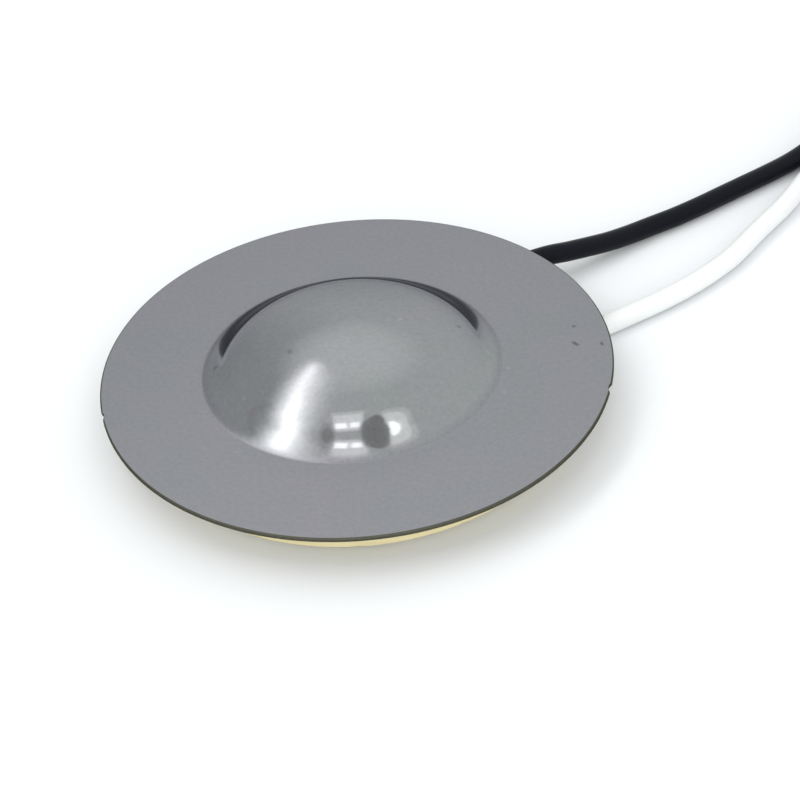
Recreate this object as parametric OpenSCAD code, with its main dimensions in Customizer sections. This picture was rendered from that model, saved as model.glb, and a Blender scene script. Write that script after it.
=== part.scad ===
// Domed piezo disc with two soldered leads, lying on the lower face of its ceramic.
// Millimetres. Z is the axis of the disc, and Z = 0 is the surface that it rests on.

/* [Diaphragm] */
// Diameter of the dome where its crease runs out into the flat flange
dome_d = 20.4; // [18:0.2:24]
// Width of the flange that lies on the ceramic, all round the dome
land_w = 4.8; // [4:0.2:7]
// How far the flange reaches past the ceramic
overhang_w = 2.5; // [2:0.1:3.5]
// Thickness of the metal sheet, the same all over
sheet_t = 0.3; // [0.2:0.05:0.4]
// Slope of the crown where the shoulder starts, in degrees
crown_angle = 14.5; // [12:0.5:17]
// Radius of the shoulder, where the upper face bends down into the wall
shoulder_r = 6; // [5:0.1:7]
// Steepest slope of the wall, in degrees
wall_angle = 42.5; // [39:0.5:44]
// Radius of the hollow that runs from the wall towards the flange
hollow_r = 5.7; // [5:0.1:7]
// Slope of the hollow where the crease starts, in degrees
foot_angle = 25.5; // [22:0.5:30]
// Radius of the crease at the flange, on the upper face
crease_r = 0.2; // [0.15:0.05:0.4]
// Radius of the blanked edge
rim_r = 0.08; // [0.04:0.02:0.1]
// Depth of the two nicks in the rim
nick_depth = 0.3; // [0.1:0.05:0.4]

/* [Ceramic] */
// Thickness of the piezo ceramic
ceramic_t = 2.8; // [2.6:0.1:4]
// Ground chamfer on both edges of the ceramic
ceramic_chamfer = 0.15; // [0.05:0.05:0.25]
// Thickness of the fired silver
electrode_t = 0.05; // [0.03:0.01:0.08]
// Bare ceramic left between the silver and the edge
electrode_margin = 0.5; // [0.3:0.1:1]
// Width of the silver tab that turns up the side
tab_w = 3; // [2.4:0.2:5]
// Height of the top of the silver tab above the resting face
tab_h = 2.2; // [2.1:0.05:2.3]

/* [Bond] */
// Thickness of the epoxy between diaphragm and ceramic
bond_t = 0.1; // [0.05:0.05:0.2]
// How far the squeezed-out epoxy reaches past the ceramic
bead_w = 0.35; // [0.3:0.05:0.5]
// Gap between the epoxy and the foot of the dome
bond_inset = 0.5; // [0.2:0.1:1]

/* [Solder] */
// Clear flange left on each side of the joint under the flange
plate_joint_gap = 0.1; // [0.05:0.05:0.3]
// How far that joint stands out from the flange
plate_joint_h = 1.1; // [0.9:0.05:1.3]
// Direction of that joint from the axis, in degrees
plate_joint_azimuth = 40.5; // [38:0.5:43]
// Diameter of the joint on the silver tab
side_joint_d = 1.9; // [1.6:0.1:2]
// How far that joint stands out from the tab
side_joint_h = 0.9; // [0.75:0.05:1.1]
// Height of that joint above the resting face
side_joint_z = 1.15; // [1.05:0.05:1.2]
// Direction of that joint from the axis, in degrees
side_joint_azimuth = 11; // [9:0.5:13]

/* [Leads] */
// Outer diameter of the insulation
lead_d = 1.5; // [1.4:0.05:1.5]
// Diameter of the seven twisted strands
conductor_d = 0.6; // [0.4:0.05:0.7]
// Length of one full twist of the strands
strand_lay = 8; // [5:1:15]
// Length of the stripped and tinned far ends
tinned_length = 5; // [3:0.5:6]
// Radius of the coil at the middle of the lead
coil_r = 9; // [8.5:0.1:9.5]

/* [Tie] */
// Width of the tie round the coiled leads
tie_w = 1.5; // [1:0.1:1.6]
// Thickness of the tie
tie_t = 0.2; // [0.1:0.05:0.25]
// Length of the tie's twisted end
tie_end = 3.5; // [2:0.5:5]

/* [Hidden] */

// Clearance round a conductor in its solder, and round the leads in their tie
conductor_gap = 0.02;
tie_gap = 0.1;

// Heights of the stack, from the resting face up
ceramic_z = electrode_t;
silver_z = ceramic_z + ceramic_t;
bond_z = silver_z + electrode_t;
plate_z = bond_z + bond_t;
top_z = plate_z + sheet_t;

// From the axis out: dome, then the ceramic's edge, then the rim
dome_r = dome_d / 2;
ceramic_r = dome_r + land_w;
flange_r = ceramic_r + overhang_w;
silver_r = ceramic_r - electrode_margin;
bead_h = bond_t + electrode_t + ceramic_chamfer + 0.1;

// The joint under the flange fills the ring between the epoxy and the rim
plate_joint_r = (ceramic_r + bead_w + flange_r) / 2;
plate_joint_d = flange_r - ceramic_r - bead_w - 2 * plate_joint_gap;
plate_joint_at = concat(polar(plate_joint_r, plate_joint_azimuth), [plate_z]);
side_joint_at = concat(polar(ceramic_r + electrode_t, side_joint_azimuth), [side_joint_z]);

// Where each conductor ends inside its solder
black_core_end = plate_joint_at - [0, 0, 0.45 * plate_joint_h];
white_core_end = concat(polar(ceramic_r + electrode_t + 0.4 * side_joint_h, side_joint_azimuth),
                        [side_joint_z - 0.05]);

// Two nicks in the rim: direction in degrees, and radius of the nick
rim_nicks = [[-19, 0.8], [-170, 0.5]];

// Route of each lead from its solder joint to the coil, at the middle of the lead
black_route = [
    [13.6, 11.1, 2.25], [15.1, 11.8, 2.2], [16.6, 12.5, 2], [18.2, 13.2, 1.6], [19.9, 14, 1.2],
    [21.7, 15, 0.9], [23.6, 16, 0.75], [25.6, 17, 0.75], [27.7, 18.1, 0.75], [29.8, 19.3, 0.75],
    [31.9, 20.5, 0.75], [34, 21.7, 0.75], [36, 22.9, 0.75], [37.8, 24, 1.1], [39.5, 25, 1.8],
    [41.2, 26, 2.4], [43, 27, 2.55]
];
white_route = [
    [16.4, 3.5, 0.75], [18.2, 4.4, 0.75], [20, 5.3, 0.75], [21.8, 6.2, 0.75], [23.6, 7.2, 0.75],
    [25.3, 8.3, 0.75], [26.9, 9.5, 0.75], [28.4, 10.8, 0.75], [29.7, 12.2, 0.75], [31, 13.7, 0.75],
    [32.4, 15.2, 0.75], [33.8, 16.7, 0.75], [35.1, 18.3, 0.75], [36.4, 20, 0.75], [37.8, 21.7, 0.8],
    [39.4, 23.3, 0.9], [41.2, 24.9, 1], [43.1, 26.4, 1.05]
];

// The coil: one turn of each lead, the black one on the white one, laid clockwise
coil_at = [50.8, 21.1];
coil_start = 130;
coil_sweep = 300;
coil_lift = tie_t + tie_gap;
white_coil_z = coil_lift + lead_d / 2;
black_coil_z = white_coil_z + lead_d;

// The leads' last stretches inside the coil: direction from the coil's centre in degrees,
// distance from it, and height
black_tail_route = [
    [178, 8.4, 2.6], [166, 7.4, 2.4], [154, 6.4, 1.9], [142, 5.8, 1.35], [130, 5.5, 1.05],
    [118, 5.45, 1.05], [108, 5.4, 1.05], [96, 5.1, 0.85], [84, 4.9, 0.75], [72, 4.6, 0.75]
];
white_tail_route = [
    [178, 8.8, 1.05], [166, 8.4, 1.05], [154, 7.9, 1.05], [142, 7.5, 1.05], [130, 7.25, 1.05],
    [118, 7.1, 1.05], [108, 7, 1.05], [100, 6.9, 0.85], [94, 6.75, 0.8], [90, 6.65, 0.8]
];

// The tie goes round both leads and both tails, at this point of the tail routes
tie_point = 5;
tie_azimuth = white_tail_route[tie_point][0];
tie_spots = [
    [coil_r, white_coil_z],
    [coil_r, black_coil_z],
    [white_tail_route[tie_point][1], white_tail_route[tie_point][2]],
    [black_tail_route[tie_point][1], black_tail_route[tie_point][2]]
];

// Small helpers
function polar(r, a) = [r * cos(a), r * sin(a)];
function unit(v) = v / norm(v);
function last(list) = list[len(list) - 1];
function arc(centre, r, from, to, steps) =
    [for (i = [0 : steps]) centre + polar(r, from + (to - from) * i / steps)];
function coil_point(a, r, z) = concat(coil_at + polar(r, a), [z]);
function coil_route(list) = [for (p = list) coil_point(p[0], p[1], p[2])];
// The coil runs clockwise, so its heading is a quarter turn behind the direction
function coil_heading(a) = concat(polar(1, a - 90), [0]);

// Upper and lower face of the pressed sheet, as one outline moved down by the sheet's thickness
// Each arc starts where the one below it ends, and in the same direction
function facing(slope) = [sin(slope), cos(slope)];
crease_at = [dome_r, top_z + crease_r];
hollow_at = crease_at + (hollow_r - crease_r) * facing(foot_angle);
shoulder_at = hollow_at - (hollow_r + shoulder_r) * facing(wall_angle);
crown_r = shoulder_r + shoulder_at[0] / sin(crown_angle);
crown_at = shoulder_at - (crown_r - shoulder_r) * facing(crown_angle);
function sheet_face(drop) = concat(
    arc(crown_at, crown_r - drop, 90, 90 - crown_angle, 20),
    arc(shoulder_at, shoulder_r - drop, 90 - crown_angle, 90 - wall_angle, 8),
    arc(hollow_at, hollow_r + drop, 270 - wall_angle, 270 - foot_angle, 5),
    arc(crease_at, crease_r + drop, 270 - foot_angle, 270, 4)
);
function reversed(list) = [for (i = [len(list) - 1 : -1 : 0]) list[i]];
sheet_outline = concat(
    sheet_face(0),
    arc([flange_r - rim_r, top_z - rim_r], rim_r, 90, 0, 4),
    arc([flange_r - rim_r / 2, plate_z + rim_r / 2], rim_r / 2, 0, -90, 3),
    reversed(sheet_face(sheet_t))
);

// Pressed from one disc of sheet: flat flange, crease, hollow, shoulder and shallow crown
module diaphragm() {
    color("slategray")
    difference() {
        rotate_extrude($fn = 180) polygon(sheet_outline);
        for (nick = rim_nicks)
            rotate(nick[0])
                translate([flange_r + nick[1] - nick_depth, 0, plate_z - 1])
                    cylinder(r = nick[1], h = sheet_t + 2, $fn = 32);
    }
}

// Cured epoxy: a thin ring with a bead squeezed out round the ceramic
module bond_layer() {
    bead_foot = [ceramic_r + bead_w, plate_z - bead_h];
    color("khaki")
    rotate_extrude($fn = 180)
    polygon(concat(
        [
            [dome_r + bond_inset, plate_z],
            [dome_r + bond_inset, bond_z],
            [silver_r, bond_z],
            [silver_r, silver_z],
            [ceramic_r - ceramic_chamfer, silver_z],
            [ceramic_r, silver_z - ceramic_chamfer]
        ],
        [for (i = [0 : 6]) bead_foot + [-bead_w * cos(15 * i), bead_h * sin(15 * i)]]
    ));
}

module upper_electrode() {
    color("silver")
    translate([0, 0, silver_z])
        cylinder(r = silver_r, h = electrode_t, $fn = 180);
}

module ceramic_disc() {
    bottom = ceramic_z;
    top = silver_z;
    color("tan")
    rotate_extrude($fn = 180)
    polygon([
        [0, bottom],
        [ceramic_r - ceramic_chamfer, bottom],
        [ceramic_r, bottom + ceramic_chamfer],
        [ceramic_r, top - ceramic_chamfer],
        [ceramic_r - ceramic_chamfer, top],
        [0, top]
    ]);
}

// Fired silver under the ceramic, with a tab that turns up its side
module lower_electrode() {
    tab_angle = 180 * tab_w / (PI * ceramic_r);
    inner = silver_r - 0.5;
    outer_r = ceramic_r + electrode_t;
    color("silver")
    union() {
        cylinder(r = silver_r, h = electrode_t, $fn = 180);
        rotate(side_joint_azimuth - tab_angle / 2)
        rotate_extrude(angle = tab_angle, $fn = 180)
        polygon([
            [inner, 0],
            [outer_r - ceramic_chamfer, 0],
            [outer_r, ceramic_chamfer],
            [outer_r, tab_h],
            [ceramic_r, tab_h],
            [ceramic_r, ceramic_z + ceramic_chamfer],
            [ceramic_r - ceramic_chamfer, ceramic_z],
            [inner, electrode_t]
        ]);
    }
}

// Half outline of a solder mound: wetted skirts that rise to a round top
module solder_mound(d, h) {
    skirt = 0.02;
    rotate_extrude($fn = 48)
    polygon(concat(
        [[0, 0], [d / 2, 0]],
        [for (i = [0 : 12]) [d / 2 * (1 - i / 12), skirt + (h - skirt) * (1 - cos(15 * i)) / 2]]
    ));
}

// Turns Z to point from one point to another
module aim(from, to) {
    way = to - from;
    translate(from)
        rotate([0, acos(way[2] / norm(way)), atan2(way[1], way[0])])
            children();
}

// Bore that a conductor leaves in its solder
module conductor_bore(from, to) {
    aim(from, to)
        cylinder(d = conductor_d + 2 * conductor_gap, h = norm(to - from), $fn = 32);
}

module plate_solder_joint() {
    color("lightgray")
    difference() {
        translate(plate_joint_at)
            mirror([0, 0, 1])
                solder_mound(plate_joint_d, plate_joint_h);
        conductor_bore(black_core_end, black_route[0]);
    }
}

module ceramic_solder_joint() {
    // The mound starts a little inside the tab, which is then cut back to its round face
    sink = pow(side_joint_d / 2, 2) / (2 * ceramic_r) + 0.02;
    color("lightgray")
    difference() {
        rotate(side_joint_azimuth)
            translate([ceramic_r + electrode_t - sink, 0, side_joint_z])
                rotate([0, 90, 0])
                    solder_mound(side_joint_d, side_joint_h + sink);
        cylinder(r = ceramic_r + electrode_t, h = 2 * side_joint_z, $fn = 180);
        conductor_bore(white_core_end, white_route[0]);
    }
}

// Seven strands: one in the middle and six twisted round it, tinned together
module strands(length) {
    strand_r = conductor_d / 6;
    linear_extrude(height = length, twist = 360 * length / strand_lay, slices = ceil(2 * length))
        union() {
            circle(r = strand_r, $fn = 12);
            for (i = [0 : 5])
                rotate(60 * i)
                    translate([1.95 * strand_r, 0])
                        circle(r = strand_r, $fn = 12);
        }
}

module conductor(from, to) {
    color("silver")
    aim(from, to)
        strands(norm(to - from));
}

module black_conductor() {
    conductor(black_route[0], black_core_end);
}

module white_conductor() {
    conductor(white_route[0], white_core_end);
}

// A lead swept along its route, with its end faces square to the given headings
module swept_lead(route, start_way, end_way) {
    sides = 8;
    n = len(route);
    function way(i) =
        i == 0 ? unit(start_way) :
        i == n - 1 ? unit(end_way) :
        unit(unit(route[i + 1] - route[i]) + unit(route[i] - route[i - 1]));
    function ring(i) =
        let (side = unit(cross(way(i), [0, 0, 1])), up = cross(side, way(i)))
        [for (k = [0 : sides - 1])
            route[i] + lead_d / 2 * (cos(360 * k / sides) * side + sin(360 * k / sides) * up)];
    points = [for (i = [0 : n - 1]) each ring(i)];
    walls = [for (i = [0 : n - 2], k = [0 : sides - 1])
        let (a = i * sides + k, b = i * sides + (k + 1) % sides)
        [a, b, b + sides, a + sides]];
    start_cap = [for (k = [0 : sides - 1]) sides - 1 - k];
    end_cap = [for (k = [0 : sides - 1]) (n - 1) * sides + k];
    polyhedron(points, concat(walls, [start_cap], [end_cap]), convexity = 10);
}

module lead_to_coil(route, core_end, z) {
    swept_lead(
        concat(route, [coil_point(coil_start, coil_r, z)]),
        route[0] - core_end,
        coil_heading(coil_start)
    );
}

module coil(z) {
    translate([coil_at[0], coil_at[1], z])
        rotate(coil_start - coil_sweep)
            rotate_extrude(angle = coil_sweep, $fn = 96)
                translate([coil_r, 0])
                    circle(d = lead_d, $fn = 24);
}

module tail(route, z) {
    points = coil_route(concat([[coil_start - coil_sweep, coil_r, z]], route));
    swept_lead(points, coil_heading(coil_start - coil_sweep), last(points) - points[len(points) - 2]);
}

module tinned_end(route) {
    points = coil_route(route);
    end = last(points);
    way = unit(end - points[len(points) - 2]);
    conductor(end, end + tinned_length * [way[0], way[1], 0] / norm([way[0], way[1]]));
}

module black_lead() {
    color("black") lead_to_coil(black_route, black_core_end, black_coil_z);
}

module white_lead() {
    color("white") lead_to_coil(white_route, white_core_end, white_coil_z);
}

module black_coil() {
    color("black") coil(black_coil_z);
}

module white_coil() {
    color("white") coil(white_coil_z);
}

module black_tail() {
    color("black") tail(black_tail_route, black_coil_z);
}

module white_tail() {
    color("white") tail(white_tail_route, white_coil_z);
}

module black_tinned_end() {
    tinned_end(black_tail_route);
}

module white_tinned_end() {
    tinned_end(white_tail_route);
}

// A wire tie bent round the four strands of lead, its ends twisted together outside
module coil_tie() {
    wire_r = 0.35;
    color("gainsboro")
    translate([coil_at[0], coil_at[1], 0])
        rotate(tie_azimuth)
            union() {
                rotate([90, 0, 0])
                    translate([0, 0, -tie_w / 2])
                        linear_extrude(height = tie_w)
                            difference() {
                                tie_loop(lead_d / 2 + tie_gap + tie_t);
                                tie_loop(lead_d / 2 + tie_gap);
                            }
                translate([coil_r + lead_d / 2 + tie_gap + tie_t / 2, 0, white_coil_z + lead_d / 2])
                    rotate([0, 90, 0])
                        linear_extrude(height = tie_end, twist = 540, slices = 24)
                            for (side = [-1, 1])
                                translate([0, side * 0.9 * wire_r])
                                    circle(r = wire_r, $fn = 12);
            }
}

module tie_loop(r) {
    hull()
        for (spot = tie_spots)
            translate(spot)
                circle(r = r, $fn = 32);
}

diaphragm();
bond_layer();
upper_electrode();
ceramic_disc();
lower_electrode();
plate_solder_joint();
ceramic_solder_joint();
black_conductor();
white_conductor();
black_lead();
white_lead();
black_coil();
white_coil();
black_tail();
white_tail();
black_tinned_end();
white_tinned_end();
coil_tie();
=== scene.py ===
# %% [markdown]
# # Dressing a piezo disc
#
# The object is a piezo disc: a grey metal diaphragm with a shallow pressed dome, bonded onto a
# thick ceramic disc, with one lead soldered to each of the ceramic's two silver faces. Its solids
# are already built and packed at their real size. This lesson loads them as a fixed frame and
# gives each of them the surface that the eye expects. One unit is one metre throughout, so the
# small sizes are written in millimetres and multiplied by `mm`.

# %% Load the frame
import math

import bmesh
import bpy
from mathutils import Matrix, Vector, geometry, noise


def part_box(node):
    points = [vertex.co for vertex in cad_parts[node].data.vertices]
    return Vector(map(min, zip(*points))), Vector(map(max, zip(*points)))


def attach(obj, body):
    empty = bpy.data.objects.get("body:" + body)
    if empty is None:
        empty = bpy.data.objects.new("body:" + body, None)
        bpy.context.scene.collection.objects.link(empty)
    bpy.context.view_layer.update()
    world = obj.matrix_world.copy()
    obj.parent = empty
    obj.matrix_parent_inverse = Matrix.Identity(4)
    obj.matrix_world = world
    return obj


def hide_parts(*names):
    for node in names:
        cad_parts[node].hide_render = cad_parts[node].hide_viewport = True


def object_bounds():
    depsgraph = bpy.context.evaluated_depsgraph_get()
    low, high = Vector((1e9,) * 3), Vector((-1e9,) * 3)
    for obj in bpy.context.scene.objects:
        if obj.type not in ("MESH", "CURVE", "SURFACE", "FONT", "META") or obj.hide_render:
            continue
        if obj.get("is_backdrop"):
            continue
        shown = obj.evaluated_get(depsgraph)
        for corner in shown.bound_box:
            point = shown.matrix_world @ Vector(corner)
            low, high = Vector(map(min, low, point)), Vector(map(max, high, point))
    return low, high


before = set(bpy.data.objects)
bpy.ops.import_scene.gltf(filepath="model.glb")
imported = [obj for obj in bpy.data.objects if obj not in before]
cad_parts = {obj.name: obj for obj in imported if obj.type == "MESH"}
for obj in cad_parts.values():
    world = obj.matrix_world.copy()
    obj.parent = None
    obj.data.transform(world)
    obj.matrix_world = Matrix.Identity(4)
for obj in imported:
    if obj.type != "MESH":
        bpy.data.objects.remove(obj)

cad_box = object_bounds()
mm = 0.001
print("solids in the frame:", len(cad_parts))

# %% [markdown]
# ## The camera
#
# A camera could be nudged until the picture looks right. Here it is worked out instead: the rim
# is a circle of known size, so the shape of its ellipse gives how high the eye is, and the
# change of scale from near to far gives how close it is. The eye is 120 mm away, which is near
# enough for the far rim to look clearly smaller than the near one.

# %% Place the camera
image_size = 800
disc_centre_px = Vector((354.98, 360.67))
focal_px = 1757.85
eye_distance = 120 * mm
eye_elevation = math.radians(37.65)
eye_roll = math.radians(6.1)
sensor_width = 36

sheet_t = 0.3 * mm
plate_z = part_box("diaphragm")[0].z
top_z = plate_z + sheet_t

back = Vector((0, -math.cos(eye_elevation), math.sin(eye_elevation)))
level = Vector((1, 0, 0))
upward = back.cross(level)
right = level * math.cos(eye_roll) - upward * math.sin(eye_roll)
up = level * math.sin(eye_roll) + upward * math.cos(eye_roll)

camera = bpy.data.objects.new("camera", bpy.data.cameras.new("camera"))
bpy.context.scene.collection.objects.link(camera)
camera.data.sensor_width = sensor_width
camera.data.lens = sensor_width * focal_px / image_size
camera.data.shift_x = (image_size / 2 - disc_centre_px.x) / image_size
camera.data.shift_y = (disc_centre_px.y - image_size / 2) / image_size
camera.data.clip_start = 1 * mm
turn = Matrix((right, up, back)).transposed().to_4x4()
camera.matrix_world = Matrix.Translation(Vector((0, 0, top_z)) + back * eye_distance) @ turn
bpy.context.scene.camera = camera
print("lens", round(camera.data.lens, 1), "mm, eye at", [round(x / mm, 1) for x in camera.location])

# %% [markdown]
# ## Small tools
#
# A few helpers carry the whole lesson. `colour` turns the hex value that a paint chart gives
# into the linear values that a shader wants. `node` adds one node to any tree, shader or
# geometry, with its settings and its links in one call. `geometry_tree` opens a Geometry Nodes
# tree with named inputs, so that each size can be changed where the tree is used, and
# `hand_over` ends one.

# %% Helpers for colours, nodes and trees
def colour(code):
    """An sRGB hex colour as linear RGBA."""
    parts = [int(code[i:i + 2], 16) / 255 for i in (1, 3, 5)]
    return (*[c / 12.92 if c <= 0.04045 else ((c + 0.055) / 1.055) ** 2.4 for c in parts], 1)


def node(tree, kind, inputs=None, **settings):
    """Adds a node. inputs holds a value or another node's socket for each input."""
    made = tree.nodes.new(kind)
    for name, value in settings.items():
        setattr(made, name, value)
    for name, value in (inputs or {}).items():
        if isinstance(value, bpy.types.NodeSocket):
            tree.links.new(value, made.inputs[name])
        else:
            made.inputs[name].default_value = value
    return made


def math_node(tree, operation, first, second=0):
    """Adds one sum and gives its result. Both terms may be values or sockets."""
    return node(tree, "ShaderNodeMath", {0: first, 1: second}, operation=operation).outputs[0]


def put(name, data):
    """A new object in the scene."""
    made = bpy.data.objects.new(name, data)
    bpy.context.scene.collection.objects.link(made)
    return made


# %% Helpers that open, end and run a tree
def geometry_tree(name, **sockets):
    """A Geometry Nodes tree with its group input and output. sockets gives each input's kind."""
    tree = bpy.data.node_groups.new(name, "GeometryNodeTree")
    tree.interface.new_socket("Geometry", in_out="INPUT", socket_type="NodeSocketGeometry")
    for label, kind in sockets.items():
        tree.interface.new_socket(label, in_out="INPUT", socket_type="NodeSocket" + kind)
    tree.interface.new_socket("Geometry", in_out="OUTPUT", socket_type="NodeSocketGeometry")
    return tree, node(tree, "NodeGroupInput").outputs, node(tree, "NodeGroupOutput")


def hand_over(tree, given, out, shape):
    """Ends a tree: makes the shape real, gives it the chosen material and hands it out."""
    real = node(tree, "GeometryNodeRealizeInstances", {"Geometry": shape})
    dressed = node(tree, "GeometryNodeSetMaterial",
                   {"Geometry": real.outputs[0], "Material": given["Material"]})
    tree.links.new(dressed.outputs[0], out.inputs[0])


def grow(name, tree, mesh, **sizes):
    """Runs a tree on a mesh and gives the result as an object with a plain mesh."""
    piece = put(name, mesh)
    modifier = piece.modifiers.new(tree.name, "NODES")
    modifier.node_group = tree
    for item in tree.interface.items_tree:
        if item.in_out == "INPUT" and item.name in sizes:
            modifier[item.identifier] = sizes[item.name]
    seen = piece.evaluated_get(bpy.context.evaluated_depsgraph_get())
    made = bpy.data.meshes.new_from_object(seen)
    piece.modifiers.remove(modifier)
    piece.data = made
    made.name = name
    # The tree leaves an empty first slot; the piece keeps only the slot that is in use
    used = [material for material in made.materials if material]
    made.materials.clear()
    for material in used:
        made.materials.append(material)
    made.polygons.foreach_set("material_index", [0] * len(made.polygons))
    return piece


# %% Helpers for meshes and pieces
doubled, degenerate = 1e-7, 1e-8
crease_angle = math.radians(40)


def line_mesh(points):
    """A mesh of points joined by edges, for a tree to follow or turn."""
    mesh = bpy.data.meshes.new("line")
    mesh.from_pydata(points, [(i, i + 1) for i in range(len(points) - 1)], [])
    return mesh


def join_rows(shape, rows):
    """Faces between each row of points and the next. Each row runs round and closes."""
    for row, following in zip(rows, rows[1:]):
        for k in range(len(row)):
            shape.faces.new((row[k - 1], row[k], following[k], following[k - 1]))


def close_up(piece):
    """Merges doubled points, turns all faces outwards and keeps only real corners sharp."""
    shape = bmesh.new()
    shape.from_mesh(piece.data)
    bmesh.ops.remove_doubles(shape, verts=shape.verts, dist=doubled)
    bmesh.ops.dissolve_degenerate(shape, edges=shape.edges, dist=degenerate)
    bmesh.ops.recalc_face_normals(shape, faces=shape.faces)
    shape.to_mesh(piece.data)
    shape.free()
    piece.data.shade_smooth()
    piece.data.set_sharp_from_angle(angle=crease_angle)
    return piece


def stand_in(piece, slot, *nodes):
    """The piece rides on the part's one body and replaces its solids; the slot it is given is not
    used.
    """
    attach(piece, "root")
    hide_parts(*nodes)
    print(piece.name, "for", ", ".join(nodes), "-", len(piece.data.polygons), "faces")
    return piece

# %% [markdown]
# ## How a material is started
#
# Every finish below is a Principled shader, because its inputs carry over to other programs.
# `finish` opens one and gives back the tree, the shader and the piece's own coordinates. Those
# are in metres, so a pattern whose grains are s millimetres apart has a scale of 1 / (s * mm).
#
# Nearly every real finish is two close colours in a fine or coarse grain, and the same grain
# shows in the gloss and to the fingertip. `grain` draws such a pattern, `mix_in` spreads two
# colours over it, and `roughen` varies the gloss and raises a low relief by it.

# %% Start a material
def finish(name, **values):
    """A material with a Principled shader. Returns it with its tree, shader and coordinates."""
    material = bpy.data.materials.new(name)
    material.use_nodes = True
    tree = material.node_tree
    shader = tree.nodes["Principled BSDF"]
    for label, value in values.items():
        shader.inputs[label.replace("_", " ")].default_value = value
    return material, tree, shader, node(tree, "ShaderNodeTexCoord").outputs["Object"]


def grain(tree, where, size, detail, **settings):
    """A pattern from 0 to 1 whose grains are this many millimetres apart."""
    return node(tree, "ShaderNodeTexNoise", {"Vector": where, "Scale": 1 / (size * mm),
                                             "Detail": detail, **settings}).outputs["Fac"]


def blend(tree, share, first, second, **settings):
    """A mix of two colours, each a value or a socket, by a share from 0 to 1."""
    return node(tree, "ShaderNodeMix", {0: share, 6: first, 7: second},
                data_type="RGBA", **settings).outputs[2]


def ramp(tree, value, low, high, start=0, end=1, **settings):
    """A value that runs from start to end, laid out between low and high."""
    return node(tree, "ShaderNodeMapRange",
                {"Value": value, "From Min": start, "From Max": end,
                 "To Min": low, "To Max": high}, **settings).outputs[0]


def mix_in(tree, shader, pattern, first, second):
    """Mixes two hex colours by a pattern as the finish's colour."""
    mixed = blend(tree, pattern, colour(first), colour(second))
    tree.links.new(mixed, shader.inputs["Base Color"])


def roughen(tree, shader, pattern, low, high, relief=0):
    """Varies the roughness by a pattern, with a low relief where one is asked for."""
    tree.links.new(ramp(tree, pattern, low, high), shader.inputs["Roughness"])
    if relief:
        raised = node(tree, "ShaderNodeBump",
                      {"Height": pattern, "Strength": relief, "Distance": 0.01 * mm})
        tree.links.new(raised.outputs[0], shader.inputs["Normal"])

# %% [markdown]
# ## The two leads
#
# Each lead is one length of stranded hook-up wire. It leaves its solder joint under the flange,
# drops to the table and runs off to the right. Past the edge of the view it makes one neat turn,
# one lead on the other, and ends inside that turn, stripped and tinned.
#
# A lead could be a curve with a round bevel. Here the route is a chain of points that a Geometry
# Nodes tree turns into one smooth spline and dresses with a tube, because the tree can also
# write down how far along and how far round each point lies, for the marks on the insulation.

# %% The routes of the leads
lead_d = 1.5 * mm
coil_at = Vector((50.8, 21.1, 0)) * mm
coil_r = 9 * mm
coil_start, coil_end, coil_step = 130, -170, 10
black_coil_z, white_coil_z = 2.55 * mm, 1.05 * mm

black_route = [
    (13.6, 11.1, 2.25), (15.1, 11.7, 2.15), (16.6, 12.35, 1.85), (18.2, 13.1, 1.55),
    (19.9, 14, 1.2), (21.7, 15, 0.95), (23.6, 16.05, 0.8), (25.6, 17, 0.75), (27.7, 18.1, 0.75),
    (29.8, 19.3, 0.75), (31.9, 20.5, 0.75), (34, 21.7, 0.75), (36, 22.9, 0.8), (37.8, 24, 1.1),
    (39.5, 25, 1.8), (41.2, 26, 2.4), (43, 27, 2.55),
]
white_route = [
    (16.4, 3.5, 0.75), (18.2, 4.4, 0.75), (20, 5.3, 0.75), (21.8, 6.2, 0.75), (23.6, 7.2, 0.75),
    (25.3, 8.3, 0.75), (26.9, 9.5, 0.75), (28.4, 10.8, 0.75), (29.7, 12.2, 0.75), (31, 13.7, 0.75),
    (32.4, 15.2, 0.75), (33.8, 16.7, 0.75), (35.1, 18.3, 0.75), (36.4, 20, 0.75), (37.8, 21.7, 0.8),
    (39.4, 23.3, 0.9), (41.2, 24.9, 1), (43.1, 26.4, 1.05),
]
# Direction from the coil's centre in degrees, distance from it, and height
black_tail = [
    (178, 8.4, 2.6), (166, 7.4, 2.4), (154, 6.4, 1.9), (142, 5.8, 1.35), (130, 5.5, 1.05),
    (118, 5.45, 1.05), (108, 5.4, 1.05), (96, 5.1, 0.85), (84, 4.9, 0.75), (72, 4.6, 0.75),
]
white_tail = [
    (178, 8.8, 1.05), (166, 8.4, 1.05), (154, 7.9, 1.05), (142, 7.5, 1.05), (130, 7.25, 1.05),
    (118, 7.1, 1.05), (108, 7, 1.05), (100, 6.9, 0.85), (94, 6.75, 0.8), (90, 6.65, 0.8),
]


def round_coil(degrees, distance, height):
    """A point by its direction and distance from the coil's centre, in metres."""
    a = math.radians(degrees)
    return coil_at + Vector((distance * math.cos(a), distance * math.sin(a), height))


def whole_route(route, tail, coil_z):
    """A lead's points from its joint, round its coil and along its tail."""
    points = [Vector(p) * mm for p in route]
    turn_degrees = range(coil_start, coil_end - 1, -coil_step)
    points += [round_coil(degrees, coil_r, coil_z) for degrees in turn_degrees]
    return points + [round_coil(degrees, r * mm, z * mm) for degrees, r, z in tail]


def length_of(points):
    """The length of a chain of points."""
    return sum((b - a).length for a, b in zip(points, points[1:]))


black_line = whole_route(black_route, black_tail, black_coil_z)
white_line = whole_route(white_route, white_tail, white_coil_z)
for name, line in (("black", black_line), ("white", white_line)):
    print(name, "lead:", len(line), "points,", round(length_of(line) / mm, 1), "mm of insulation")

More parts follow.
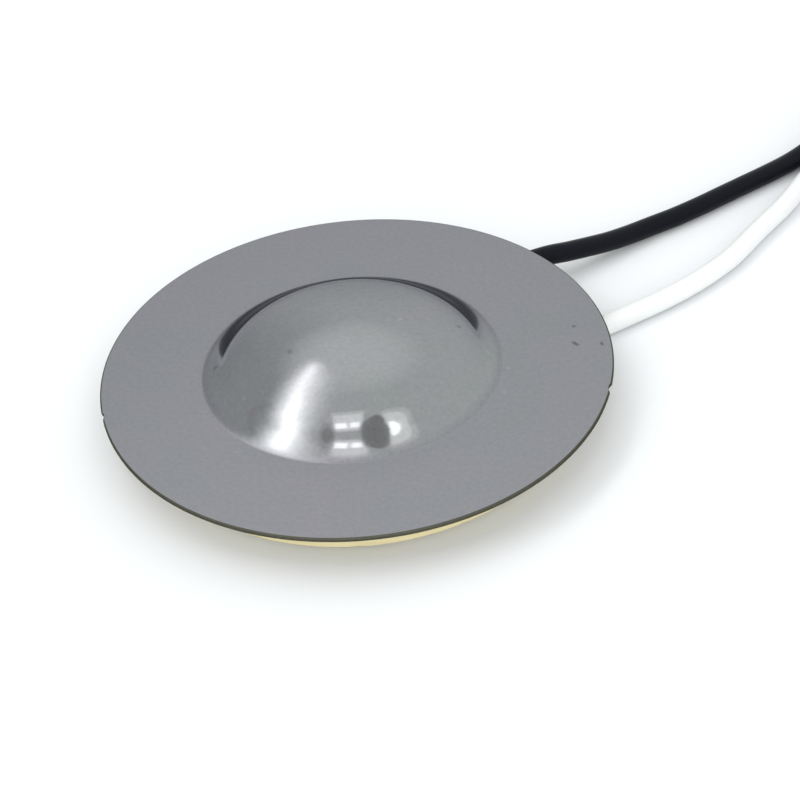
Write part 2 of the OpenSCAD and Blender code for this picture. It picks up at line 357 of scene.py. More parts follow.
# %% A tree that sheathes a route
lead_tree, given, out = geometry_tree("sheathed_lead", Diameter="Float", Material="Material")
spline = node(lead_tree, "GeometryNodeMeshToCurve", {"Mesh": given["Geometry"]})
smooth = node(lead_tree, "GeometryNodeCurveSplineType", {"Curve": spline.outputs[0]},
              spline_type="CATMULL_ROM")
fine = node(lead_tree, "GeometryNodeSetSplineResolution",
            {"Geometry": smooth.outputs[0], "Resolution": 5})
along = node(lead_tree, "GeometryNodeSplineParameter")
marked = node(lead_tree, "GeometryNodeStoreNamedAttribute",
              {"Geometry": fine.outputs[0], "Name": "along", "Value": along.outputs["Length"]},
              data_type="FLOAT", domain="POINT")
radius = math_node(lead_tree, "MULTIPLY", given["Diameter"], 0.5)
ring = node(lead_tree, "GeometryNodeCurvePrimitiveCircle", {"Resolution": 24, "Radius": radius})
place = node(lead_tree, "GeometryNodeInputPosition")
ring_marked = node(lead_tree, "GeometryNodeStoreNamedAttribute",
                   {"Geometry": ring.outputs[0], "Name": "round", "Value": place.outputs[0]},
                   data_type="FLOAT_VECTOR", domain="POINT")
tube = node(lead_tree, "GeometryNodeCurveToMesh",
            {"Curve": marked.outputs[0], "Profile Curve": ring_marked.outputs[0],
             "Fill Caps": True})
hand_over(lead_tree, given, out, tube.outputs[0])

# %% [markdown]
# ### Stranded wire
#
# Inside the insulation are seven tinned strands, six of them twisted round one. They show where
# the insulation is stripped: inside each solder joint and at the far ends. One tree makes them
# all: it copies the wire's own line, shifts each copy sideways by an angle that grows along the
# line, and gives every copy a round section. The two wires of the tie are made by it as well.

# %% A tree that twists strands round a line
strand_tree, given, out = geometry_tree(
    "twisted_strands", Strands="Int", Core="Bool", Strand_radius="Float", Ring_radius="Float",
    Lay="Float", Material="Material")
line = node(strand_tree, "GeometryNodeMeshToCurve", {"Mesh": given["Geometry"]})
steps = node(strand_tree, "GeometryNodeResampleCurve", {"Curve": line.outputs[0], "Count": 28})
copies = node(strand_tree, "GeometryNodeDuplicateElements",
              {"Geometry": steps.outputs[0], "Amount": given["Strands"]}, domain="SPLINE")
share = math_node(strand_tree, "DIVIDE", copies.outputs["Duplicate Index"], given["Strands"])
along = node(strand_tree, "GeometryNodeSplineParameter")
twist = math_node(strand_tree, "DIVIDE", along.outputs["Length"], given["Lay"])
turns = math_node(strand_tree, "ADD", share, twist)
angle = math_node(strand_tree, "MULTIPLY", turns, math.tau)
across = node(strand_tree, "GeometryNodeInputNormal")
ahead = node(strand_tree, "GeometryNodeInputTangent")
sideways = node(strand_tree, "ShaderNodeVectorRotate",
                {"Vector": across.outputs[0], "Axis": ahead.outputs[0], "Angle": angle},
                rotation_type="AXIS_ANGLE")
shift = node(strand_tree, "ShaderNodeVectorMath",
             {0: sideways.outputs[0], "Scale": given["Ring_radius"]}, operation="SCALE")
spun = node(strand_tree, "GeometryNodeSetPosition",
            {"Geometry": copies.outputs["Geometry"], "Offset": shift.outputs[0]})
core = node(strand_tree, "GeometryNodeSwitch",
            {"Switch": given["Core"], "True": steps.outputs[0]}, input_type="GEOMETRY")
bundle = node(strand_tree, "GeometryNodeJoinGeometry", {"Geometry": spun.outputs[0]})
strand_tree.links.new(core.outputs[0], bundle.inputs[0])
section = node(strand_tree, "GeometryNodeCurvePrimitiveCircle",
               {"Resolution": 12, "Radius": given["Strand_radius"]})
wires = node(strand_tree, "GeometryNodeCurveToMesh",
             {"Curve": bundle.outputs[0], "Profile Curve": section.outputs[0],
              "Fill Caps": True})
hand_over(strand_tree, given, out, wires.outputs[0])

# %% [markdown]
# ### Finishes of the leads
#
# The insulation is extruded PVC: smooth, with a soft gloss and faint lines along it from the die.
# The black one is a cool near-black and shows the lines as a dull streak. The white one is a
# little milky, so light goes a short way in and its edges stay soft and grey.

# %% PVC, tinned copper and tie coating
def extruded_pvc(name, shade, dull_shade, **values):
    """Extruded vinyl: a colour with a duller one in lines along the lead, and a soft gloss."""
    material, tree, shader, _ = finish(name, **values)
    round_it = node(tree, "ShaderNodeAttribute", attribute_name="round")
    along_it = node(tree, "ShaderNodeAttribute", attribute_name="along")
    far = node(tree, "ShaderNodeCombineXYZ", {"Z": along_it.outputs["Fac"]})
    laid_out = node(tree, "ShaderNodeVectorMath",
                    {0: round_it.outputs["Vector"], 1: far.outputs[0]}, operation="ADD")
    drawn = node(tree, "ShaderNodeMapping", {"Vector": laid_out.outputs[0], "Scale": (1, 1, 0.03)})
    # Die lines are a few hundredths of a millimetre apart; 0.25 mm is the finest that shows
    lines = grain(tree, drawn.outputs[0], 0.25, 3)
    mix_in(tree, shader, lines, shade, dull_shade)
    roughen(tree, shader, lines, 0.3, 0.48, relief=0.25)
    return material


black_pvc = extruded_pvc("black_extruded_pvc", "#06070d", "#0c0e17", Specular_IOR_Level=0.1)
white_pvc = extruded_pvc("white_extruded_pvc", "#e0e1e0", "#d4d6d6", Specular_IOR_Level=0.3,
                         Subsurface_Weight=0.15, Subsurface_Scale=0.4 * mm)

# Tinned copper: copper wire drawn through molten tin, bright with dull patches
tinned_copper, tree, shader, where = finish("tinned_copper_strand", Metallic=1.0)
patches = grain(tree, where, 0.3, 4)
mix_in(tree, shader, patches, "#d3d1cc", "#b3b1ac")
roughen(tree, shader, patches, 0.18, 0.42)

# %% The leads and their stripped ends
strand_d = 0.2 * mm
strand_ring_r = 0.195 * mm
strand_lay = 8 * mm
tinned_length = 5 * mm
black_core_end = Vector((12.49, 10.67, 2.505)) * mm
white_core_end = Vector((15.127, 2.940, 1.10)) * mm


def strands(name, start, end):
    """Seven strands from one point to another."""
    piece = grow(name, strand_tree, line_mesh([start, end]), Strands=6, Core=True,
                 Strand_radius=strand_d / 2, Ring_radius=strand_ring_r,
                 Lay=strand_lay, Material=tinned_copper)
    return close_up(piece)


def lead(name, line, core_end, material):
    """A sheathed lead with its strands in the joint and its tinned far end."""
    piece = close_up(grow(name + "_lead_wire", lead_tree, line_mesh(line), Diameter=lead_d,
                          Material=material))
    stand_in(piece, name + "_insulation", name + "_lead", name + "_coil", name + "_tail")
    inner = strands(name + "_joint_strands", line[0], core_end)
    stand_in(inner, "tinned_copper", name + "_conductor")
    way = line[-1] - line[-2]
    way.z = 0
    outer = strands(name + "_end_strands", line[-1], line[-1] + way.normalized() * tinned_length)
    stand_in(outer, "tinned_copper", name + "_tinned_end")
    return piece, [inner, outer]


black_lead, black_on_it = lead("black", black_line, black_core_end, black_pvc)
white_lead, white_on_it = lead("white", white_line, white_core_end, white_pvc)

# %% [markdown]
# ### The tie
#
# The turn of lead is held by a wire tie: a flat plastic strip with a wire down its middle, bent
# round the four strands of lead, with its two ends twisted together outside. The strip follows
# the tight outline round the leads, so that outline is worked out as a convex hull and a flat
# section with a raised middle is swept along it in mesh code.

# %% The tie round the coiled leads
tie_row = 5
tie_azimuth = white_tail[tie_row][0]
tie_w = 1.5 * mm
tie_t = 0.2 * mm
tie_gap = 0.1 * mm
tie_end = 3.5 * mm
tie_wire_r = 0.35 * mm
tie_spots = [(coil_r, white_coil_z), (coil_r, black_coil_z)]
tie_spots += [(distance * mm, height * mm)
              for _, distance, height in (white_tail[tie_row], black_tail[tie_row])]
# The strip's section: place across it, and how much of its thickness it has there
tie_section = [(-0.5, 0.15), (-0.47, 0.6), (-0.15, 0.7), (-0.08, 1), (0.08, 1), (0.15, 0.7),
               (0.47, 0.6), (0.5, 0.15), (0.47, 0), (-0.47, 0)]

# Coated tie: soft plastic over wire, off-white with a dull sheen
tie_coating, tree, shader, where = finish("coated_tie_plastic", Specular_IOR_Level=0.45)
matte = grain(tree, where, 0.4, 3)
mix_in(tree, shader, matte, "#e4e4e0", "#cfcfca")
roughen(tree, shader, matte, 0.4, 0.6)


def tight_outline(spots, radius, steps=48):
    """The outline of a band round circles of one radius: points and outward directions."""
    ring = [Vector((math.cos(math.tau * k / steps), math.sin(math.tau * k / steps)))
            for k in range(steps)]
    cloud = [(Vector(spot) + side * radius, side) for spot in spots for side in ring]
    return [cloud[i] for i in geometry.convex_hull_2d([point for point, _ in cloud])]


a = math.radians(tie_azimuth)
outward = Vector((math.cos(a), math.sin(a), 0))
aside = Vector((-math.sin(a), math.cos(a), 0))
band = bmesh.new()
rows = []
for point, side in tight_outline(tie_spots, lead_d / 2 + tie_gap):
    rows.append([
        band.verts.new(coil_at + outward * (point.x + side.x * tie_t * lift)
                       + Vector((0, 0, point.y + side.y * tie_t * lift)) + aside * tie_w * place)
        for place, lift in tie_section])
join_rows(band, rows + rows[:1])
tail_root = coil_at + outward * (coil_r + lead_d / 2 + tie_gap + tie_t / 2)
tail_root.z = (tie_spots[0][1] + tie_spots[1][1]) / 2
pigtail = grow("tie_pigtail", strand_tree, line_mesh([tail_root, tail_root + outward * tie_end]),
               Strands=2, Core=False, Strand_radius=tie_wire_r, Ring_radius=0.9 * tie_wire_r,
               Lay=tie_end * 2 / 3, Material=tie_coating)
band.from_mesh(pigtail.data)
tie_mesh = bpy.data.meshes.new("coated_tie")
band.to_mesh(tie_mesh)
band.free()
tie_mesh.materials.append(tie_coating)
bpy.data.objects.remove(pigtail)
tie = close_up(put("coated_tie", tie_mesh))
stand_in(tie, "tie_coating", "coil_tie")

# %% [markdown]
# ## A tree for everything that is round
#
# The diaphragm, the ceramic, the silver, the epoxy and the solder all have a round shape, so one
# tree turns them all. It could be a Screw modifier, but a tree with named inputs can be read
# later: it lays out a grid, gives each row the matching point of a half outline, and bends the
# grid round the axis. The row where the turn closes, and the poles on the axis, are then merged.

# %% A tree that turns an outline round the axis
turned_tree, given, out = geometry_tree("turned_piece", Segments="Int", Material="Material")
count = node(turned_tree, "GeometryNodeAttributeDomainSize", {"Geometry": given["Geometry"]},
             component="MESH")
points = count.outputs["Point Count"]
columns = math_node(turned_tree, "ADD", given["Segments"], 1)
sheet = node(turned_tree, "GeometryNodeMeshGrid", {"Vertices X": columns, "Vertices Y": points})
index = node(turned_tree, "GeometryNodeInputIndex").outputs[0]
column = math_node(turned_tree, "FLOOR", math_node(turned_tree, "DIVIDE", index, points))
row = math_node(turned_tree, "MODULO", index, points)
place = node(turned_tree, "GeometryNodeInputPosition")
half = node(turned_tree, "GeometryNodeSampleIndex",
            {"Geometry": given["Geometry"], "Value": place.outputs[0], "Index": row},
            data_type="FLOAT_VECTOR", domain="POINT")
turned = math_node(turned_tree, "DIVIDE", column, given["Segments"])
angle = math_node(turned_tree, "MULTIPLY", turned, math.tau)
bent = node(turned_tree, "ShaderNodeVectorRotate",
            {"Vector": half.outputs[0], "Angle": angle}, rotation_type="Z_AXIS")
shaped = node(turned_tree, "GeometryNodeSetPosition",
              {"Geometry": sheet.outputs[0], "Position": bent.outputs[0]})
merged = node(turned_tree, "GeometryNodeMergeByDistance",
              {"Geometry": shaped.outputs[0], "Distance": doubled})
hand_over(turned_tree, given, out, merged.outputs[0])


def turn_piece(name, outline, segments, material):
    """A turned piece from a half outline of (distance from the axis, height) points."""
    mesh = line_mesh([(x, 0, z) for x, z in outline])
    return close_up(grow(name, turned_tree, mesh, Segments=segments, Material=material))


def arc(centre, radius, start, end, steps):
    """Points along an arc, with its angles in degrees."""
    angles = [math.radians(start + (end - start) * k / steps) for k in range(steps + 1)]
    return [(centre[0] + radius * math.cos(t), centre[1] + radius * math.sin(t)) for t in angles]

# %% [markdown]
# ## The diaphragm's metal
#
# The diaphragm is thin stainless sheet, rolled to a satin finish and then pressed. It reads as
# grey because it mirrors the room softly. The punch burnished the dome, so it is glossier and a
# little brighter than the flange. The eye also picks up a slow drift between a purple and a
# green grey, a fine rolled grain, a dozen small marks, dark pits and bright scuffs, and the
# dark edge where the sheet was sheared. That edge is rough, and its near-black colour is partly
# painted shade.

# %% Rolled and pressed sheet
dome_foot_r = 10.33 * mm
dome_at = Vector((-0.26, -0.30, 0)) * mm
flange_tint = (0.88, 0.86, 0.90, 1)
pressed_steel, tree, shader, where = finish("rolled_satin_steel", Metallic=1.0)
shader.inputs["Specular Tint"].default_value = (0.48, 0.48, 0.5, 1)
drift = grain(tree, where, 7, 2, Distortion=0.6)
tint = blend(tree, drift, colour("#928f95"), colour("#8b908e"))
flat = node(tree, "ShaderNodeVectorMath", {0: where, 1: (1, 1, 0)}, operation="MULTIPLY")
distance = node(tree, "ShaderNodeVectorMath", {0: flat.outputs[0], 1: dome_at},
                operation="DISTANCE")
unburnished = ramp(tree, distance.outputs["Value"], 0, 1, dome_foot_r - 0.8 * mm,
                   dome_foot_r - 0.1 * mm, interpolation_type="SMOOTHSTEP")
duller = blend(tree, unburnished, tint, flange_tint, blend_type="MULTIPLY")

# The rolled grain is finer than 0.05 mm; it is drawn at 0.3 mm so that it shows
rolled = grain(tree, where, 0.3, 3)
tone = ramp(tree, rolled, 0.95, 1.05, 0.3, 0.7)

# Small marks: place on the plan, width and length in millimetres, turn in degrees, and how
# bright the metal is in them
marks = [(15.23, 1.24, 0.32, 0.32, 0, 0.6), (15.02, -0.72, 0.30, 0.70, 35, 0.5),
         (16.77, -1.03, 0.26, 0.45, 10, 0.55), (7.24, 0.13, 0.35, 0.35, 0, 0.72),
         (-4.23, -1.89, 0.45, 0.60, 20, 0.78), (-9.51, 0.16, 0.35, 0.45, 0, 0.75),
         (3.38, 0.34, 0.32, 0.32, 0, 1.16), (9.62, -5.09, 0.32, 0.40, 0, 1.13),
         (10.19, -2.59, 0.25, 0.35, 0, 1.16), (8.98, -1.33, 0.25, 0.30, 0, 1.13),
         (-7.53, -4.46, 0.30, 0.30, 0, 1.13), (-8.20, -8.27, 0.40, 0.30, 0, 1.1)]
for x, y, width, length, degrees, shade in marks:
    laid = node(tree, "ShaderNodeMapping",
                {"Vector": flat.outputs[0], "Location": (x * mm, y * mm, 0),
                 "Rotation": (0, 0, math.radians(degrees)),
                 "Scale": (width / 2 * mm, length / 2 * mm, 1)}, vector_type="TEXTURE")
    reach = node(tree, "ShaderNodeVectorMath", {0: laid.outputs[0]}, operation="LENGTH")
    # A mark is full to half its reach and has faded out a little past it
    marked = ramp(tree, reach.outputs["Value"], 1, shade, 1.2, 0.5)
    tone = math_node(tree, "MULTIPLY", tone, marked)
grained = node(tree, "ShaderNodeVectorMath", {0: duller, "Scale": tone}, operation="SCALE")
tree.links.new(grained.outputs[0], shader.inputs["Base Color"])
gloss = ramp(tree, unburnished, 0.09, 0.3)
uneven = ramp(tree, rolled, -0.025, 0.025)
tree.links.new(math_node(tree, "ADD", gloss, uneven), shader.inputs["Roughness"])

# Sheared edge: torn across by the die, so it is rough. Its near-black colour is partly painted
# shade, standing in for the shadowed floor that the edge mirrors, and a dark specular tint dims it
# further.
sheared_shaded_steel, tree, shader, where = finish("sheared_edge_painted_shade", Metallic=1.0, Roughness=0.6)
shader.inputs["Specular Tint"].default_value = (0.3, 0.3, 0.28, 1)
mix_in(tree, shader, grain(tree, where, 0.2, 4), "#4a4a41", "#5f5e54")

# %% [markdown]
# ## The pressed diaphragm
#
# This is the piece that the eye lands on. It is one sheet whose two faces stay parallel through
# every bend. The outline is walked from the axis outwards, one bend after the other: the shallow
# crown, the shoulder that bends down, the hollow that bends back up, and the tight crease at the
# flange. Each bend starts where the last one stopped and in the same direction, so no corner is
# left to catch the light. The lower face walks the same bends with their radii changed by the
# sheet's thickness.
#
# The hollow matters to the eye. Its slope rises and falls again, so the near side shows every
# lamp twice, once in the shoulder and once upside down in the hollow, and the far side mirrors
# the flange, which draws the dark crescent behind the dome.

# %% Outline of the sheet
flange_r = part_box("diaphragm")[1].x
flange_steps = 10
rim_r = 0.1 * mm
rim_gap = 0.02 * mm
sheet_segments = 560
crown_angle, wall_angle, foot_angle = 14.5, 42.5, 25.5
shoulder_r, hollow_r, crease_r = 6 * mm, 5.7 * mm, 0.5 * mm

crown_sin, wall_sin, foot_sin = [math.sin(math.radians(a))
                                 for a in (crown_angle, wall_angle, foot_angle)]
crown_edge = (dome_foot_r - shoulder_r * (wall_sin - crown_sin)
              - hollow_r * (wall_sin - foot_sin) - crease_r * foot_sin)
crown_r = crown_edge / crown_sin

# Each bend of the upper face from the axis out: radius, turn in degrees, number of steps
bends = [(crown_r, crown_angle, 32), (shoulder_r, wall_angle - crown_angle, 18),
         (hollow_r, foot_angle - wall_angle, 12), (crease_r, -foot_angle, 8)]


def sheet_face(depth):
    """One face of the pressed sheet, from the axis to the end of its crease."""
    x, z, slope = 0, 0, 0
    points = [(x, z)]
    for radius, turn_by, steps in bends:
        side = math.copysign(1, turn_by)
        bend_r = side * radius - depth
        end = slope + math.radians(turn_by)
        for k in range(1, steps + 1):
            a = slope + (end - slope) * k / steps
            points.append((x + bend_r * (math.sin(a) - math.sin(slope)),
                           z + bend_r * (math.cos(a) - math.cos(slope))))
        (x, z), slope = points[-1], end
    return [(px, pz - z + top_z - depth) for px, pz in points]


upper, lower = sheet_face(0), sheet_face(sheet_t)
foot_r = upper[-1][0]
flat_end = flange_r - rim_r - rim_gap
flange = [(foot_r + (flat_end - foot_r) * k / flange_steps, top_z)
          for k in range(1, flange_steps + 1)]
rim = arc((flange_r - rim_r, top_z - rim_r), rim_r, 90, 0, 4)
rim += arc((flange_r - rim_r / 2, plate_z + rim_r / 2), rim_r / 2, 0, -90, 3)
underside = [(x, plate_z) for x, _ in reversed(flange)]
diaphragm = turn_piece("pressed_diaphragm", upper + flange + rim + underside + lower[::-1],
                       sheet_segments, pressed_steel)
print("dome stands", round((upper[0][1] - top_z) / mm, 2), "mm over the flange, foot at",
      round(foot_r / mm, 2), "mm")

# %% [markdown]
# ### Off centre
#
# The punch didn't hit the middle of the sheet: the dome sits a little to the left and towards
# the viewer. Everything inside the foot moves as one, and the flange takes up the difference.

# %% Move the dome off centre
shift_from, shift_to = 10.6 * mm, 14 * mm


def smooth_step(low, high, value):
    t = min(1, max(0, (value - low) / (high - low)))
    return t * t * (3 - 2 * t)


for vertex in diaphragm.data.vertices:
    radius = vertex.co.xy.length
    vertex.co += dome_at * (1 - smooth_step(shift_from, shift_to, radius))

# %% [markdown]
# ### Marks of handling
#
# The rim has two nicks, one at the right and one at the far left. A nick could be cut out of
# the sheet; here the points inside the nick's circle are pushed out to it, which keeps the sheet
# closed. The whole sheet is also very slightly wavy, as thin pressed metal is, so that
# reflections don't look drawn with a compass. Last, the faces of the rim and of the nicks get
# the rough metal that shears leave, made near-black partly as painted shade.

# %% Nicks, waves and the sheared edge
rim_nicks = [(-19, 0.8 * mm), (-170, 0.5 * mm)]
nick_depth = 0.17 * mm
wave_height = 0.003 * mm
wave_size = 4 * mm
# A face stands upright where the height of its normal is less than this, and it belongs to a
# nick where it lies within this share of the nick's radius
steep = 0.7
nick_share = 1.02

nicks = []
for degrees, nick_r in rim_nicks:
    a = math.radians(degrees)
    centre = Vector((math.cos(a), math.sin(a))) * (flange_r + nick_r - nick_depth)
    nicks.append((centre, nick_r))
    for vertex in diaphragm.data.vertices:
        away = vertex.co.xy - centre
        if away.length < nick_r:
            vertex.co.xy = centre + away.normalized() * nick_r
for vertex in diaphragm.data.vertices:
    vertex.co.z += wave_height * noise.noise(Vector((vertex.co.x, vertex.co.y, 0)) / wave_size)
diaphragm.data.materials.append(sheared_shaded_steel)
# Painted shade: the rim's rounded top corner takes the same dark metal, so it shows no highlight
for face in diaphragm.data.polygons:
    spot = face.center.xy
    at_rim = spot.length > flange_r - rim_r and face.normal.z > -steep
    at_nick = any((spot - centre).length < nick_r * nick_share for centre, nick_r in nicks)
    if at_rim or (at_nick and abs(face.normal.z) < steep):
        face.material_index = 1
print("sheared faces:", sum(face.material_index for face in diaphragm.data.polygons))
stand_in(diaphragm, "diaphragm_metal", "diaphragm")

# %% [markdown]
# ## The ceramic and its silver
#
# The disc under the metal is sintered lead zirconate titanate: hard, matte and a pale sandy
# beige, with a slightly darker grain. It was ground round, so faint lines run round its side.
# Silver paste is screened and fired onto both faces and leaves a thin bare margin.

# %% Sintered ceramic and fired silver
sintered_pzt, tree, shader, where = finish("sintered_pzt_ceramic", Specular_IOR_Level=0.4, IOR=1.6)
ground = node(tree, "ShaderNodeMapping", {"Vector": where, "Scale": (1, 1, 9)})
bands = grain(tree, ground.outputs[0], 2.2, 5, Roughness=0.6)
mix_in(tree, shader, bands, "#e2d8b0", "#cdbf8e")
roughen(tree, shader, grain(tree, where, 0.12, 3), 0.55, 0.8, relief=0.4)

# Fired silver: metal flakes sintered to the ceramic, pale, dull and slightly mottled
fired_silver, tree, shader, where = finish("fired_silver_paste", Metallic=1.0)
flakes = grain(tree, where, 0.25, 4)
mix_in(tree, shader, flakes, "#dddcd8", "#c6c4be")
roughen(tree, shader, flakes, 0.4, 0.62, relief=0.3)

# %% Turn the ceramic
ceramic_low, ceramic_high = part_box("ceramic_disc")
ceramic_r = ceramic_high.x
ceramic_z, silver_z = ceramic_low.z, ceramic_high.z
chamfer = 0.15 * mm
side_steps = 12
disc_segments = 480
side = [(ceramic_r, ceramic_z + chamfer + (silver_z - ceramic_z - 2 * chamfer) * k / side_steps)
        for k in range(side_steps + 1)]
ceramic = turn_piece(
    "sintered_ceramic",
    [(0, ceramic_z), (ceramic_r * 0.5, ceramic_z), (ceramic_r - chamfer, ceramic_z), *side,
     (ceramic_r - chamfer, silver_z), (ceramic_r * 0.5, silver_z), (0, silver_z)],
    disc_segments, sintered_pzt)

# The ground side is a little uneven, and the lower corner has small chips where a second
# pattern, the first one moved along, rises over a level
uneven_depth = 0.02 * mm
chip_size, chip_depth, chip_level = 1.3 * mm, 0.25 * mm, 0.35
chip_pattern = Vector((7, 0, 0))
corner_w = 1.5 * chamfer
for vertex in ceramic.data.vertices:
    radius = vertex.co.xy.length
    if radius > ceramic_r - corner_w:
        spot = vertex.co / chip_size
        uneven = noise.noise(spot) + 0.5 * noise.noise(spot * 3)
        vertex.co.xy *= 1 - max(0, uneven) * uneven_depth / radius
        if vertex.co.z < ceramic_z + corner_w:
            chip = max(0, noise.noise(vertex.co / chip_size + chip_pattern) - chip_level)
            vertex.co.xy *= 1 - chip * chip_depth / radius
stand_in(ceramic, "ceramic", "ceramic_disc")

# %% The silver under the ceramic, with the ragged edge of a screened paste
upper_low, upper_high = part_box("upper_electrode")
silver_t = upper_high.z - upper_low.z
silver_r = upper_high.x
silver_segments = 360
ragged_by, ragged_size = 0.06 * mm, 0.6 * mm
silver = turn_piece("lower_silver",
                    [(0, 0), (silver_r * 0.6, 0), (silver_r, 0), (silver_r, silver_t),
                     (silver_r * 0.6, silver_t), (0, silver_t)], silver_segments, fired_silver)
for vertex in silver.data.vertices:
    if vertex.co.xy.length > silver_r * 0.9:
        vertex.co.xy *= 1 + ragged_by / silver_r * noise.noise(vertex.co / ragged_size)

# %% Its tab, which turns up the ceramic's side
tab_w = 3 * mm
tab_h = 2.2 * mm
tab_azimuth = 11
tab_steps = 24
tab_ragged, tab_ragged_step = 0.03, 0.7
# The tab's root lies inside the silver, at these two shares of its thickness
tab_root_r = silver_r - 0.5 * mm
root_low, root_high = 0.1, 0.9
outer = ceramic_r + silver_t
tab_outline = [(tab_root_r, silver_t * root_low), (outer - chamfer, 0), (outer, chamfer),
               (outer, tab_h * 0.5), (outer, tab_h), (ceramic_r, tab_h),
               (ceramic_r, tab_h * 0.5), (ceramic_r, ceramic_z + chamfer),
               (ceramic_r - chamfer, ceramic_z), (tab_root_r, silver_t * root_high)]
tab = bmesh.new()
tab.from_mesh(silver.data)
half_angle = tab_w / ceramic_r / 2
rows = []
for k in range(tab_steps + 1):
    a = math.radians(tab_azimuth) - half_angle + 2 * half_angle * k / tab_steps
    ragged = 1 + tab_ragged * noise.noise(Vector((k * tab_ragged_step, 0, 0)))
    rows.append([tab.verts.new((x * math.cos(a), x * math.sin(a), z * (ragged if z > mm else 1)))
                 for x, z in tab_outline])
join_rows(tab, rows)
tab.faces.new(rows[0])
tab.faces.new(rows[-1])
tab.to_mesh(silver.data)
tab.free()
stand_in(close_up(silver), "silver", "lower_electrode")

upper_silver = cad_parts["upper_electrode"]
upper_silver.data.materials.clear()
upper_silver.data.materials.append(fired_silver)

# %% [markdown]
# ## The epoxy
#
# A ring of epoxy holds metal and ceramic together. Where it was squeezed out it stands as a
# small uneven bead round the ceramic's edge. It is a turned ring whose outer points are then
# pushed in and out by a slow noise, as real glue beads swell and shrink.

# %% The squeezed-out bead
bond_low, bond_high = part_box("bond_layer")
bead_out = bond_high.x
bond_inner = 10.7 * mm
bond_z = silver_z + silver_t
cured_epoxy, tree, shader, where = finish(
    "cured_epoxy", Specular_IOR_Level=0.5, IOR=1.55, Transmission_Weight=0.25, Roughness=0.3)
mix_in(tree, shader, grain(tree, where, 1.5, 3), "#d9cfa6", "#bfae7c")

bead_w = bead_out - ceramic_r
bead_h = plate_z - bond_low.z
bead_steps = 10
bead_angles = [math.pi / 2 * k / bead_steps for k in range(bead_steps + 1)]
bead = [(ceramic_r + bead_w * (1 - math.cos(a)), bond_low.z + bead_h * math.sin(a))
        for a in bead_angles]
epoxy = turn_piece(
    "epoxy_ring",
    [(bond_inner, plate_z), (bond_inner, bond_z), (silver_r, bond_z), (silver_r, silver_z),
     (ceramic_r - chamfer, silver_z), (ceramic_r, silver_z - chamfer), *bead,
     (bond_inner, plate_z)], disc_segments, cured_epoxy)
swell_size, ripple_size = 2.5 * mm, 0.8 * mm
ripple_share = 0.4
full_level, shrink_by = 0.1, 0.25 * mm
for vertex in epoxy.data.vertices:
    radius = vertex.co.xy.length
    if radius > ceramic_r:
        swell = noise.noise(vertex.co / swell_size)
        swell += ripple_share * noise.noise(vertex.co / ripple_size)
        vertex.co.xy *= 1 + min(0, swell - full_level) * shrink_by / radius
stand_in(epoxy, "epoxy", "bond_layer")

# %% [markdown]
# ## The solder joints
#
# Solder wets the metal round the strands and freezes as a smooth mound with a thin skirt. Two
# of them: one under the flange, one on the silver tab. Both are turned from a cosine outline,
# which is flat at the skirt and flat at the top, and then laid where their solids lie.

# %% Solder
solder, tree, shader, where = finish("reflowed_solder", Metallic=1.0)
frost = grain(tree, where, 0.35, 5)
mix_in(tree, shader, frost, "#d6d7d8", "#b4b5b8")
roughen(tree, shader, frost, 0.12, 0.4)
skirt_t = 0.02 * mm
mound_steps, mound_segments = 20, 64
lump_by, lump_size = 0.05, 0.9 * mm


def solder_mound(name, cad_node, width, height, place):
    """A mound of solder that stands up Z, laid by a matrix."""
    outline = [(0, 0), (width / 2, 0)]
    for k in range(mound_steps + 1):
        share = k / mound_steps
        risen = (1 - math.cos(math.pi * share)) / 2
        outline.append((width / 2 * (1 - share), skirt_t + (height - skirt_t) * risen))
    piece = turn_piece(name, outline, mound_segments, solder)
    for vertex in piece.data.vertices:
        vertex.co.xy *= 1 + lump_by * noise.noise(vertex.co / lump_size)
    piece.data.transform(place)
    return stand_in(piece, "solder", cad_node)


plate_joint_d, plate_joint_h = 1.95 * mm, 1.1 * mm
plate_joint_at = Vector((black_core_end.x, black_core_end.y, plate_z))
solder_mound("flange_solder", "plate_solder_joint", plate_joint_d, plate_joint_h,
             Matrix.Translation(plate_joint_at) @ Matrix.Rotation(math.pi, 4, "X"))
side_joint_d, side_joint_h, side_joint_z = 1.9 * mm, 0.9 * mm, 1.15 * mm
sink = (side_joint_d / 2) ** 2 / (2 * ceramic_r) + skirt_t
solder_mound("tab_solder", "ceramic_solder_joint", side_joint_d, side_joint_h + sink,
             Matrix.Rotation(math.radians(tab_azimuth), 4, "Z")
             @ Matrix.Translation((ceramic_r + silver_t - sink, 0, side_joint_z))
             @ Matrix.Rotation(math.pi / 2, 4, "Y"))

# %% [markdown]
# ## Floor and light
#
# The object lies on a large pale plane that isn't part of it. A lamp alone would leave polished
# metal black between its highlights, so the metal needs a whole bright room to mirror. The room
# is an even light from all round, dimmer at the left and brighter high up behind the object. A
# dome shows each thing that hangs over it, so the place of each was worked out by reflecting the
# line of sight at its highlight: a long window strip that fades out to both sides, a ceiling
# light of two tubes, one lamp, and dim flat cards between them. A low wide light in front fills
# the near edge.

